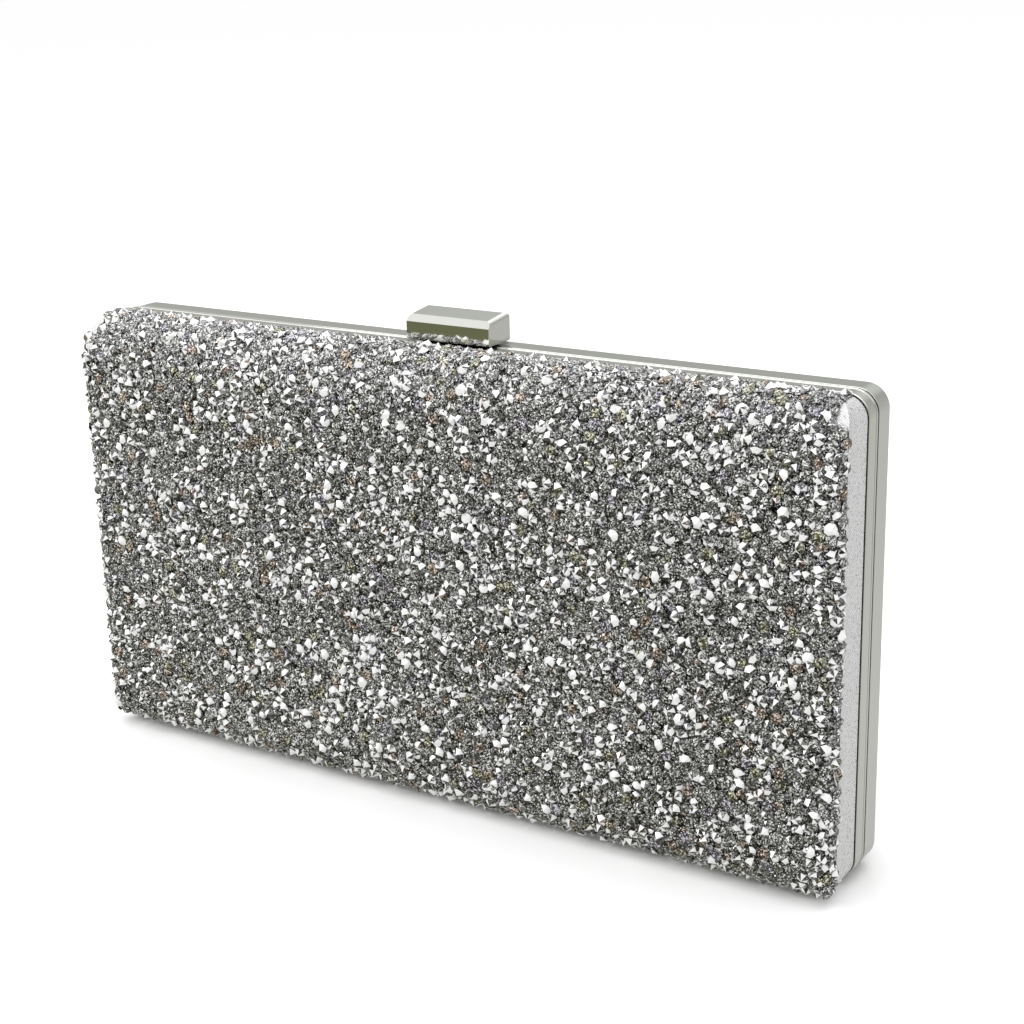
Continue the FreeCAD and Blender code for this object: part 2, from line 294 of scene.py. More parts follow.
def new_group(
    name: str, inputs: dict[str, str], outputs: dict[str, str]
) -> tuple[NodeDesk, dict, bpy.types.Node]:
    """Starts a shared shader group.

    Args:
        name: The group's name.
        inputs: Socket types by input name.
        outputs: Socket types by output name.

    Returns:
        The desk for its tree, its input sockets by name, and its output node.
    """
    tree = bpy.data.node_groups.new(name, "ShaderNodeTree")
    for key, kind in inputs.items():
        tree.interface.new_socket(key, in_out="INPUT", socket_type=kind)
    for key, kind in outputs.items():
        tree.interface.new_socket(key, in_out="OUTPUT", socket_type=kind)
    desk = NodeDesk(tree)
    source = desk.add("NodeGroupInput")
    sink = desk.add("NodeGroupOutput")
    return desk, {key: source.outputs[key] for key in inputs}, sink


def thread_rows_group() -> bpy.types.NodeTree:
    """Rows of round threads that run across a direction."""
    kinds = {"Direction": "NodeSocketVector", "Pitch": "NodeSocketFloat"}
    desk, given, sink = new_group("thread_rows", kinds, {"Height": "NodeSocketFloat"})
    place = desk.add("ShaderNodeTexCoord").outputs["Object"]
    along = desk.vector("DOT_PRODUCT", place, given["Direction"]).outputs["Value"]
    turns = desk.math("DIVIDE", along, given["Pitch"])
    wave = desk.math("SINE", desk.math("MULTIPLY", turns, math.tau))
    desk.tree.links.new(desk.math("MULTIPLY_ADD", wave, 0.5, 0.5), sink.inputs["Height"])
    return desk.tree


def cut_cells_group() -> bpy.types.NodeTree:
    """Small flat cells, each turned its own way, as cut glass or foil glitter."""
    kinds = {"Cell": "NodeSocketFloat", "Turn": "NodeSocketFloat"}
    results = {"Normal": "NodeSocketVector", "Chance": "NodeSocketFloat"}
    desk, given, sink = new_group("cut_cells", kinds, results)
    place = desk.add("ShaderNodeTexCoord").outputs["Object"]
    scale = desk.math("DIVIDE", 1.0, given["Cell"])
    cells = desk.add("ShaderNodeTexVoronoi", {"Vector": place, "Scale": scale, "Randomness": 1.0})
    centred = desk.vector("SUBTRACT", cells.outputs["Color"], (0.5, 0.5, 0.5)).outputs[0]
    turned = desk.add("ShaderNodeVectorMath", {0: centred, "Scale": given["Turn"]}, operation="SCALE")
    normal = desk.add("ShaderNodeNewGeometry").outputs["Normal"]
    leaning = desk.vector("ADD", normal, turned.outputs[0]).outputs[0]
    desk.tree.links.new(desk.vector("NORMALIZE", leaning).outputs[0], sink.inputs["Normal"])
    chance = desk.add("ShaderNodeSeparateColor", {"Color": cells.outputs["Color"]}).outputs["Red"]
    desk.tree.links.new(chance, sink.inputs["Chance"])
    return desk.tree


def handling_wear_group() -> bpy.types.NodeTree:
    """Cloudy smears and fine scratches from handling."""
    kinds = {"Cloud": "NodeSocketFloat", "Scratch": "NodeSocketFloat"}
    desk, given, sink = new_group("handling_wear", kinds, {"Value": "NodeSocketFloat"})
    place = desk.add("ShaderNodeTexCoord").outputs["Object"]
    cloud_scale = desk.math("DIVIDE", 1.0, given["Cloud"])
    cloud = desk.add("ShaderNodeTexNoise", {"Vector": place, "Scale": cloud_scale, "Detail": 4.0})
    drawn = desk.add("ShaderNodeMapping", {"Vector": place, "Scale": (0.06, 1.0, 1.0)})
    scratch_scale = desk.math("DIVIDE", 1.0, given["Scratch"])
    lines = desk.add(
        "ShaderNodeTexNoise", {"Vector": drawn.outputs[0], "Scale": scratch_scale, "Detail": 2.0}
    )
    both = desk.math("ADD", cloud.outputs["Fac"], lines.outputs["Fac"])
    desk.tree.links.new(desk.math("MULTIPLY", both, 0.5), sink.inputs["Value"])
    return desk.tree


@dataclass(frozen=True)
class SharedEffects:
    """The groups that several finishes use."""

    threads: bpy.types.NodeTree = field(default_factory=thread_rows_group)
    cells: bpy.types.NodeTree = field(default_factory=cut_cells_group)
    wear: bpy.types.NodeTree = field(default_factory=handling_wear_group)


def new_finish(name: str, **constants: object) -> tuple[bpy.types.Material, NodeDesk, bpy.types.Node]:
    """Starts a material with one Principled shader.

    Args:
        name: The material's name.
        constants: Values for the shader's sockets, with underscores for spaces.

    Returns:
        The material, the desk for its tree and its shader node.
    """
    finish = bpy.data.materials.new(name)
    finish.use_nodes = True
    desk = NodeDesk(finish.node_tree)
    shader = finish.node_tree.nodes["Principled BSDF"]
    for key, value in constants.items():
        shader.inputs[key.replace("_", " ")].default_value = value
    return finish, desk, shader


# ---- Finishes ----

@dataclass(frozen=True)
class Metal:
    """A polished or satin metal with light handling wear and painted shade in its seams."""

    name: str
    colour: Colour
    roughness_low: float
    roughness_high: float
    cloud: float = 14 * MM
    scratch: float = 0.35 * MM
    bump: float = 0.02
    # How far the painted shade looks for nearby surfaces, and how dark it makes the colour.
    painted_shade_reach: float = 2.5 * MM
    painted_shade_darkness: float = 0.12

    def material(self, shared: SharedEffects) -> bpy.types.Material:
        """Builds the material, with painted shade that darkens its colour where it lies deep in seams and
        gaps.
        """
        finish, desk, shader = new_finish(self.name, Metallic=1.0)
        wear = desk.group(shared.wear, {"Cloud": self.cloud, "Scratch": self.scratch}).outputs["Value"]
        dull = tuple(0.93 * c for c in self.colour[:3]) + (1.0,)
        colour = desk.mix(wear, self.colour, dull)
        # Painted shade: ambient occlusion darkens the colour deep in seams and gaps, standing in for the
        # shade that falls there.
        around = desk.add("ShaderNodeAmbientOcclusion", {"Distance": self.painted_shade_reach}, samples=8)
        shade = (self.painted_shade_darkness, self.painted_shade_darkness, self.painted_shade_darkness, 1.0)
        painted_seam_shade = desk.ramp(around.outputs["AO"], (0.5, shade), (0.8, (1.0, 1.0, 1.0, 1.0)))
        desk.tree.links.new(desk.mix(1.0, colour, painted_seam_shade, "MULTIPLY"), shader.inputs["Base Color"])
        rough = desk.spread(wear, self.roughness_low, self.roughness_high)
        desk.tree.links.new(rough, shader.inputs["Roughness"])
        bump = desk.add("ShaderNodeBump", {"Strength": self.bump, "Distance": 0.02 * MM, "Height": wear})
        desk.tree.links.new(bump.outputs[0], shader.inputs["Normal"])
        return finish


@dataclass(frozen=True)
class FoiledPoint:
    """The foiled back of a crystal seated point up: pale flat facets, a painted reflection of bright light,
    among glittering ones.
    """

    name: str = "foiled_point"
    painted_reflection_share: float = 0.42
    cell: float = 0.34 * MM
    turn: float = 1.3

    def material(self, shared: SharedEffects) -> bpy.types.Material:
        """Builds the material."""
        finish, desk, shader = new_finish(self.name, Coat_Weight=0.4, Coat_Roughness=0.05)
        tint = desk.add("ShaderNodeAttribute", attribute_name=STONE_TINT).outputs["Color"]
        facing = desk.add("ShaderNodeNewGeometry").outputs
        chance = desk.add(
            "ShaderNodeTexWhiteNoise", {"Vector": facing["True Normal"]}, noise_dimensions="3D"
        )
        # Painted reflection: a share of whole facets gets a pale, mostly diffuse colour that stays bright
        # whichever way it faces, standing in for the mirror foil reflecting bright light.
        pale = desk.math("LESS_THAN", chance.outputs["Value"], self.painted_reflection_share)
        cells = desk.group(shared.cells, {"Cell": self.cell, "Turn": self.turn})
        glitter = desk.ramp(
            cells.outputs["Chance"],
            (0.0, (0.02, 0.02, 0.02, 1.0)),
            (0.5, (0.22, 0.22, 0.23, 1.0)),
            (1.0, (0.98, 0.98, 0.98, 1.0)),
        )
        tinted = desk.mix(1.0, tint, glitter, "MULTIPLY")
        colour = desk.mix(pale, tinted, (0.90, 0.90, 0.90, 1.0))
        desk.tree.links.new(colour, shader.inputs["Base Color"])
        desk.tree.links.new(desk.spread(pale, 0.9, 0.25), shader.inputs["Metallic"])
        desk.tree.links.new(desk.spread(pale, 0.12, 0.3), shader.inputs["Roughness"])
        normal = desk.mix(pale, cells.outputs["Normal"], facing["Normal"])
        desk.tree.links.new(normal, shader.inputs["Normal"])
        return finish


@dataclass(frozen=True)
class Glitter:
    """Foiled facets seen small and many: under a crystal's table, or as chips in the resin, with painted
    glints on their lightest cells.
    """

    name: str
    darkest: Colour
    middle: Colour
    lightest: Colour
    painted_glint_share: float = 0.2
    cell: float = 0.3 * MM
    turn: float = 1.5
    roughness: float = 0.1
    coat: float = 0.5

    def material(self, shared: SharedEffects) -> bpy.types.Material:
        """Builds the material."""
        finish, desk, shader = new_finish(self.name, Coat_Weight=self.coat, Coat_Roughness=0.05)
        tint = desk.add("ShaderNodeAttribute", attribute_name=STONE_TINT).outputs["Color"]
        cells = desk.group(shared.cells, {"Cell": self.cell, "Turn": self.turn})
        chance = cells.outputs["Chance"]
        tone = desk.ramp(chance, (0.15, self.darkest), (0.6, self.middle), (0.95, self.lightest))
        desk.tree.links.new(desk.mix(1.0, tint, tone, "MULTIPLY"), shader.inputs["Base Color"])
        # Painted glints: the lightest cells are made mostly diffuse, so they stay bright whichever way they
        # face, standing in for foil catching the light.
        light = desk.math("GREATER_THAN", chance, 1 - self.painted_glint_share)
        desk.tree.links.new(desk.spread(light, 0.9, 0.3), shader.inputs["Metallic"])
        desk.tree.links.new(cells.outputs["Normal"], shader.inputs["Normal"])
        rough = desk.spread(chance, self.roughness, 2 * self.roughness)
        desk.tree.links.new(rough, shader.inputs["Roughness"])
        return finish


@dataclass(frozen=True)
class LurexTwill:
    """Silver lurex twill with foil glitter."""

    name: str = "lurex_twill"
    colour: Colour = (0.68, 0.685, 0.69, 1.0)
    shade: Colour = (0.55, 0.55, 0.55, 1.0)
    twill_pitch: float = 0.75 * MM
    thread_pitch: float = 0.32 * MM
    glitter_cell: float = 0.3 * MM

    def material(self, shared: SharedEffects) -> bpy.types.Material:
        """Builds the material."""
        finish, desk, shader = new_finish(self.name, Sheen_Weight=0.15)
        twill = desk.group(shared.threads, {"Direction": (1, 1, 1), "Pitch": self.twill_pitch})
        ribs = twill.outputs["Height"]
        threads = desk.group(shared.threads, {"Direction": (1, -1, -1), "Pitch": self.thread_pitch})
        height = desk.math("MULTIPLY_ADD", threads.outputs["Height"], 0.35, ribs)
        glitter = desk.group(shared.cells, {"Cell": self.glitter_cell, "Turn": 0.4})
        colour = desk.mix(ribs, self.shade, self.colour)
        desk.tree.links.new(colour, shader.inputs["Base Color"])
        spark = desk.math("GREATER_THAN", glitter.outputs["Chance"], 0.8)
        desk.tree.links.new(desk.spread(spark, 0.35, 0.85), shader.inputs["Metallic"])
        desk.tree.links.new(desk.spread(spark, 0.5, 0.2), shader.inputs["Roughness"])
        bump = desk.add(
            "ShaderNodeBump",
            {"Strength": 0.3, "Distance": 0.1 * MM, "Height": height, "Normal": glitter.outputs["Normal"]},
        )
        desk.tree.links.new(bump.outputs[0], shader.inputs["Normal"])
        return finish


@dataclass(frozen=True)
class Satin:
    """Woven satin with a fine warp."""

    name: str
    colour: Colour
    shade: Colour
    thread_pitch: float = 0.4 * MM
    pucker: float = 0.5 * MM

    def material(self, shared: SharedEffects) -> bpy.types.Material:
        """Builds the material."""
        finish, desk, shader = new_finish(self.name, Sheen_Weight=0.35, Anisotropic=0.5)
        ends = desk.group(shared.threads, {"Direction": (1, 0.3, 0), "Pitch": self.thread_pitch})
        warp = ends.outputs["Height"]
        weft = desk.group(shared.threads, {"Direction": (0, 1, 1), "Pitch": 1.6 * self.thread_pitch})
        height = desk.math("MULTIPLY_ADD", weft.outputs["Height"], 0.3, warp)
        cloud = desk.group(shared.wear, {"Cloud": 20 * MM, "Scratch": 0.6 * MM}).outputs["Value"]
        desk.tree.links.new(desk.mix(cloud, self.shade, self.colour), shader.inputs["Base Color"])
        desk.tree.links.new(desk.spread(warp, 0.42, 0.3), shader.inputs["Roughness"])
        soft = desk.add("ShaderNodeBump", {"Strength": 0.6, "Distance": self.pucker, "Height": cloud})
        bump = desk.add(
            "ShaderNodeBump",
            {"Strength": 0.25, "Distance": 0.05 * MM, "Height": height, "Normal": soft.outputs[0]},
        )
        desk.tree.links.new(bump.outputs[0], shader.inputs["Normal"])
        return finish


@dataclass(frozen=True)
class Moulded:
    """Moulded plastic or foam with a fine grain."""

    name: str
    colour: Colour
    shade: Colour
    grain: float
    roughness: float
    depth: float

    def material(self) -> bpy.types.Material:
        """Builds the material."""
        finish, desk, shader = new_finish(self.name)
        place = desk.add("ShaderNodeTexCoord").outputs["Object"]
        grain = desk.add("ShaderNodeTexNoise", {"Vector": place, "Scale": 1 / self.grain, "Detail": 3.0})
        value = grain.outputs["Fac"]
        desk.tree.links.new(desk.mix(value, self.shade, self.colour), shader.inputs["Base Color"])
        rough = desk.spread(value, self.roughness, self.roughness + 0.15)
        desk.tree.links.new(rough, shader.inputs["Roughness"])
        bump = desk.add("ShaderNodeBump", {"Strength": 0.4, "Distance": self.depth, "Height": value})
        desk.tree.links.new(bump.outputs[0], shader.inputs["Normal"])
        return finish


@dataclass
class Finishes:
    """Every material of the bag."""

    shared: SharedEffects = field(default_factory=SharedEffects)

    def __post_init__(self) -> None:
        """Builds the materials once."""
        shared = self.shared
        self.nickel = Metal("polished_nickel", (0.80, 0.805, 0.765, 1.0), 0.05, 0.13).material(shared)
        self.steel = Metal("hinge_steel", (0.56, 0.56, 0.57, 1.0), 0.2, 0.34).material(shared)
        self.spring = Metal("spring_steel", (0.42, 0.43, 0.46, 1.0), 0.22, 0.4).material(shared)
        self.foil = FoiledPoint().material(shared)
        self.table = Glitter(
            "cut_table", (0.06, 0.06, 0.06, 1.0), (0.42, 0.42, 0.42, 1.0), (0.95, 0.95, 0.95, 1.0)
        ).material(shared)
        self.bed = Glitter(
            "chip_resin",
            (0.008, 0.008, 0.008, 1.0),
            (0.11, 0.11, 0.11, 1.0),
            (0.80, 0.80, 0.80, 1.0),
            painted_glint_share=0.12,
            coat=0.2,
        ).material(shared)
        self.lurex = LurexTwill().material(shared)
        self.satin = Satin(
            "lining_satin", (0.50, 0.49, 0.48, 1.0), (0.36, 0.35, 0.345, 1.0)
        ).material(shared)
        self.thread = Satin(
            "stitch_thread", (0.62, 0.61, 0.6, 1.0), (0.5, 0.49, 0.48, 1.0)
        ).material(shared)
        self.plastic = Moulded(
            "tray_plastic", (0.045, 0.034, 0.028, 1.0), (0.025, 0.02, 0.017, 1.0), 0.5 * MM, 0.4, 0.05 * MM
        ).material()
        self.foam = Moulded(
            "lining_foam", (0.72, 0.71, 0.66, 1.0), (0.5, 0.49, 0.45, 1.0), 0.6 * MM, 0.8, 0.3 * MM
        ).material()


# ---- The form of a half ----

@dataclass(frozen=True)
class HalfForm:
    """The outside form of a half, which every skin of that half follows at its own depth."""

    half: Half
    top_roll_depth: float
    top_roll_height: float
    bottom_roll: float
    end_round: float
    corner_round: float
    least_round: float = 0.4 * MM
    roll_steps: int = 14
    corner_steps: int = 8
    spare: float = 20 * MM
    hair: float = 0.02 * MM

    @property
    def face(self) -> float:
        """How far the crystals' outer face lies from the parting plane."""
        low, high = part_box(self.half.node("crystal_sheet"))
        return max(abs(low.y), abs(high.y))

    def depth_of(self, part: str) -> float:
        """How far a part's outer face lies below the crystals' outer face."""
        low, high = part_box(self.half.node(part))
        return self.face - max(abs(low.y), abs(high.y))

    def start_of(self, part: str) -> float:
        """How far a part stops before the parting plane."""
        low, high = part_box(self.half.node(part))
        return min(abs(low.y), abs(high.y))

    def outline(self, layer: float) -> tuple[float, float, float]:
        """The end, the bottom and the top of the form at a depth."""
        low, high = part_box(self.half.node("fabric_cover"))
        deeper = layer - self.depth_of("fabric_cover")
        return high.x - deeper, low.z + deeper, high.z - deeper

    def closed(self, name: str, layer: float, open_y: float) -> bpy.types.Object:
        """The surface of the form at a depth, open towards the parting plane.

        Args:
            name: The new piece's name.
            layer: Depth below the crystals' outer face.
            open_y: How far the surface stops before the parting plane.

        Returns:
            A sheet with no thickness, facing outwards.
        """
        end, bottom, top = self.outline(layer)
        face = layer - self.face
        near = self.hair
        spare = self.spare
        form = add_block(name, Vector((-end - spare, face, bottom)), Vector((end + spare, -open_y, top)))
        roll = self.top_roll_depth - layer
        round_edges(form, lambda p: p.y < face + near and p.z > top - near, roll, self.roll_steps)
        self.stretch_roll(form, face + roll, top, roll, layer)
        low_roll = self.bottom_roll - layer
        round_edges(form, lambda p: p.y < face + near and p.z < bottom + near, low_roll, self.roll_steps)
        plan = add_block("plan", Vector((-end, face, -spare)), Vector((end, spare, top + spare)))
        rim = max(self.end_round - layer, self.least_round)
        round_edges(plan, lambda p: abs(p.x) > end - near and p.y < face + near, rim, self.roll_steps)
        outline = add_block("outline", Vector((-end, face - spare, bottom)), Vector((end, spare, top)))
        corner = max(self.corner_round - layer, self.least_round)
        round_edges(
            outline,
            lambda p: abs(p.x) > end - near and abs(p.y - face / 2) < spare / 2,
            corner,
            self.corner_steps,
        )
        for cutter in (plan, outline):
            apply_modifier(form, "BOOLEAN", object=cutter, operation="INTERSECT", solver="EXACT")
            bpy.data.objects.remove(cutter)
        remove_faces(form, lambda p: p.y > -open_y - near)
        if self.half is Half.REAR:
            pick(form, Element.FACE, everywhere)
            edit(form, lambda: bpy.ops.transform.resize(value=(1, -1, 1), center_override=(0, 0, 0)))
            pick(form, Element.FACE, everywhere)
            edit(form, lambda: bpy.ops.mesh.flip_normals())
        return form

    def stretch_roll(
        self, form: bpy.types.Object, roll_y: float, top: float, roll: float, layer: float
    ) -> None:
        """Stretches the top roll downwards into its oval shape."""
        activate(form)
        grow = (self.top_roll_height - layer) / roll
        mesh = form.data
        for group in (mesh.vertices, mesh.edges, mesh.polygons):
            group.foreach_set("select", [False] * len(group))
        for vertex in mesh.vertices:
            vertex.select = vertex.co.z > top - roll - self.hair and vertex.co.y < roll_y + self.hair
        bpy.context.tool_settings.mesh_select_mode = (True, False, False)
        edit(form, lambda: bpy.ops.transform.resize(value=(1, 1, grow), center_override=(0, 0, top)))


# ---- Crystals ----

@dataclass(frozen=True)
class Seat:
    """Where one crystal is set."""

    place: Vector
    normal: Vector
    radius: float


@dataclass
class CrystalSheet:
    """The resin sheet of one half, with its crystals in two cuts."""

    form: HalfForm
    finishes: Finishes
    side_margin: float
    wrap: float
    seed: int
    stone_height: float = 0.95 * MM
    edge_room: float = 0.2 * MM
    radii: tuple[float, ...] = (1.4 * MM, 1.22 * MM, 1.05 * MM, 0.88 * MM, 0.7 * MM)
    tries: tuple[int, ...] = (9000, 22000, 26000, 30000, 42000)
    closeness: float = 0.8
    pointed_share: float = 0.5
    tilt_spread: float = 15.0
    tilt_most: float = 34.0

    @property
    def half(self) -> Half:
        """The half that the sheet covers."""
        return self.form.half

    def build(self) -> None:
        """Makes the bed and both cuts of crystals."""
        self.margin_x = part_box("front_frame")[1].x - self.side_margin
        self.wrap_y = self.form.face - self.wrap
        self.open_y = self.form.start_of("crystal_sheet")
        bed = self.make_bed()
        random = np.random.default_rng(self.seed)
        seats = self.find_seats(bed, random)
        is_pointed = random.random(len(seats)) < self.pointed_share
        for cut in Cut:
            chosen = [s for s, p in zip(seats, is_pointed) if p == (cut is Cut.POINTED)]
            self.set_stones(cut, chosen, random)
        apply_modifier(bed, "SOLIDIFY", thickness=self.bed_depth, offset=-1, use_even_offset=True)
        smooth(bed)
        tint = bed.data.attributes.new(STONE_TINT, "FLOAT_COLOR", "POINT")
        tint.data.foreach_set("color", [1.0] * (4 * len(bed.data.vertices)))
        dress(bed, self.finishes.bed, self.half.body)
        self.half.node("fabric_cover_skin")
        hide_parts(self.half.node("crystal_sheet"))

    @property
    def bed_depth(self) -> float:
        """The thickness of the resin under the crystals."""
        return self.form.depth_of("fabric_cover") - self.stone_height

    def off_sheet(self, place: Vector, room: float = 0.0) -> bool:
        """Whether a place is outside the sheet's edge, or within some room of it."""
        depth = abs(place.y)
        past_side = abs(place.x) > self.margin_x - room and depth < self.wrap_y + room
        return past_side or depth < self.open_y + room

    def make_bed(self) -> bpy.types.Object:
        """The outer face of the resin, cut to the sheet's edge."""
        bed = self.form.closed(self.half.node("crystal_bed"), self.stone_height, self.open_y)
        side = math.copysign(1, bed.data.vertices[0].co.y)
        for x in (-self.margin_x, self.margin_x):
            cut_plane(bed, Vector((x, 0, 0)), Vector((1, 0, 0)))
        cut_plane(bed, Vector((0, side * self.wrap_y, 0)), Vector((0, 1, 0)))
        remove_faces(bed, self.off_sheet)
        return bed

    def find_seats(self, bed: bpy.types.Object, random: np.random.Generator) -> list[Seat]:
        """Throws darts at the bed, large crystals first, and keeps those that fit.

        Args:
            bed: The surface that the crystals stand on.
            random: The source of chance.

        Returns:
            The seats, close together all over the bed.
        """
        mesh = bed.data
        mesh.calc_loop_triangles()
        corners = np.array([[mesh.vertices[i].co for i in t.vertices] for t in mesh.loop_triangles], float)
        normals = np.array([t.normal for t in mesh.loop_triangles], float)
        edge_a = corners[:, 1] - corners[:, 0]
        edge_b = corners[:, 2] - corners[:, 0]
        area = np.linalg.norm(np.cross(edge_a, edge_b), axis=1)
        cell = 2 * max(self.radii)
        taken = defaultdict(list)
        around = [(i, j, k) for i in (-1, 0, 1) for j in (-1, 0, 1) for k in (-1, 0, 1)]
        seats = []
        for radius, count in zip(self.radii, self.tries):
            chosen = random.choice(len(area), count, p=area / area.sum())
            u, v = random.random((2, count))
            folded = u + v > 1
            u[folded], v[folded] = 1 - u[folded], 1 - v[folded]
            points = corners[chosen, 0] + u[:, None] * edge_a[chosen] + v[:, None] * edge_b[chosen]
            for point, face in zip(points.tolist(), chosen.tolist()):
                if self.off_sheet(Vector(point), self.edge_room):
                    continue
                key = tuple(math.floor(c / cell) for c in point)
                fits = True
                for step in around:
                    near = taken.get((key[0] + step[0], key[1] + step[1], key[2] + step[2]))
                    for x, y, z, other in near or ():
                        room = self.closeness * (radius + other)
                        apart = (x - point[0]) ** 2 + (y - point[1]) ** 2 + (z - point[2]) ** 2
                        if apart < room * room:
                            fits = False
                            break
                    if not fits:
                        break
                if fits:
                    taken[key].append((*point, radius))
                    seats.append(Seat(Vector(point), Vector(normals[face]), radius))
        return seats

    def model_stone(self, cut: Cut) -> bpy.types.Object:
        """One crystal of unit radius, standing on the origin.

        Args:
            cut: Whether it is seated point up or table up.

        Returns:
            A closed, flat-faceted stone.
        """
        bpy.ops.object.select_all(action="DESELECT")
        girdle = 0.1
        if cut is Cut.POINTED:
            bpy.ops.mesh.primitive_cone_add(
                vertices=7, radius1=1.0, radius2=0.0, depth=0.72, location=(0, 0, girdle + 0.36)
            )
            stone = settle(bpy.context.object, "pointed_stone")
            pick(stone, Element.FACE, lambda p: p.z < girdle + 0.01)
        else:
            bpy.ops.mesh.primitive_cylinder_add(vertices=8, radius=1.0, depth=0.3, location=(0, 0, 0.25))
            stone = settle(bpy.context.object, "table_stone")
            pick(stone, Element.FACE, lambda p: p.z > 0.39)
            edit(
                stone,
                lambda: bpy.ops.transform.resize(value=(0.56, 0.56, 1), center_override=(0, 0, 0.4)),
            )
            pick(stone, Element.FACE, lambda p: p.z < girdle + 0.01)
        edit(
            stone,
            lambda: bpy.ops.mesh.extrude_region_move(TRANSFORM_OT_translate={"value": (0, 0, -2 * girdle)}),
        )
        return stone

    def stone_tints(self, count: int, random: np.random.Generator) -> np.ndarray:
        """A tint for each crystal: most are clear, some are amber, olive or lilac."""
        hues = np.array(
            [
                (0.98, 0.98, 0.97),
                (0.78, 0.78, 0.78),
                (0.95, 0.78, 0.66),
                (0.88, 0.86, 0.66),
                (0.86, 0.82, 0.94),
            ]
        )
        chosen = random.choice(len(hues), count, p=(0.62, 0.22, 0.06, 0.05, 0.05))
        return np.hstack([hues[chosen], np.ones((count, 1))])

    def set_stones(self, cut: Cut, seats: list[Seat], random: np.random.Generator) -> None:
        """Copies one crystal to every seat, each with its own turn, lean and tint.

        Args:
            cut: Which cut is set.
            seats: Where the crystals go.
            random: The source of chance.
        """
        count = len(seats)
        lean = np.clip(np.abs(random.normal(0, self.tilt_spread, count)), 0, self.tilt_most)
        if cut is Cut.TABLE:
            lean *= 0.6
        spin, toward = random.random((2, count)) * math.tau
        turns = []
        for seat, lean_angle, spin_angle, way in zip(seats, np.radians(lean), spin, toward):
            upright = seat.normal.to_track_quat("Z", "Y")
            tip = Quaternion(Vector((math.cos(way), math.sin(way), 0)), lean_angle)
            turns.append((upright @ tip @ Quaternion((0, 0, 1), spin_angle)).to_euler())
        name = self.half.node(f"{cut.value}_crystals")
        mesh = bpy.data.meshes.new(name)
        mesh.from_pydata([s.place for s in seats], [], [])
        for key, kind, values in (
            ("turn", "FLOAT_VECTOR", np.array(turns)),
            ("size", "FLOAT", np.array([s.radius for s in seats])),
            (STONE_TINT, "FLOAT_COLOR", self.stone_tints(count, random)),
        ):
            attribute = mesh.attributes.new(key, kind, "POINT")
            part = {"FLOAT": "value", "FLOAT_VECTOR": "vector", "FLOAT_COLOR": "color"}[kind]
            attribute.data.foreach_set(part, values.astype(np.float32).ravel())
        stones = bpy.data.objects.new(name, mesh)
        bpy.context.scene.collection.objects.link(stones)
        stone = self.model_stone(cut)
        apply_modifier(stones, "NODES", node_group=seating_nodes(stone))
        bpy.data.objects.remove(stone)
        finish = self.finishes.foil if cut is Cut.POINTED else self.finishes.table
        dress(stones, finish, self.half.body)


def seating_nodes(stone: bpy.types.Object) -> bpy.types.NodeTree:
    """Geometry nodes that copy a stone to each point, by the point's turn and size."""
    tree = bpy.data.node_groups.new(f"seat_{stone.name}", "GeometryNodeTree")
    tree.interface.new_socket("Geometry", in_out="INPUT", socket_type="NodeSocketGeometry")
    tree.interface.new_socket("Geometry", in_out="OUTPUT", socket_type="NodeSocketGeometry")
    desk = NodeDesk(tree)
    points = desk.add("NodeGroupInput").outputs[0]
    model = desk.add("GeometryNodeObjectInfo", {"Object": stone}).outputs["Geometry"]
    turn = desk.add("GeometryNodeInputNamedAttribute", {"Name": "turn"}, data_type="FLOAT_VECTOR")
    size = desk.add("GeometryNodeInputNamedAttribute", {"Name": "size"}, data_type="FLOAT")
    rotation = desk.add("FunctionNodeEulerToRotation", {0: turn.outputs["Attribute"]})
    copies = desk.add(
        "GeometryNodeInstanceOnPoints",
        {
            "Points": points,
            "Instance": model,
            "Rotation": rotation.outputs[0],
            "Scale": size.outputs["Attribute"],
        },
    )
    real = desk.add("GeometryNodeRealizeInstances", {0: copies.outputs[0]})
    desk.add("NodeGroupOutput", {0: real.outputs[0]})
    return tree


# ---- Cloth and foam ----

@dataclass
class Skin:
    """A cloth or foam layer that follows the form of a half."""

    form: HalfForm
    part: str
    finish: bpy.types.Material
    slot: str
    thickness: float

    def build(self) -> bpy.types.Object:
        """Makes the layer in the space of its CAD node, and stands it in for that node."""
        half = self.form.half
        node = half.node(self.part)
        layer = self.form.depth_of(self.part)
        skin = self.form.closed(f"{node}_skin", layer, self.form.start_of(self.part))
        apply_modifier(skin, "SOLIDIFY", thickness=self.thickness, offset=-1, use_even_offset=True)
        smooth(skin)
        dress(skin, self.finish, half.body)
        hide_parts(node)
        return skin


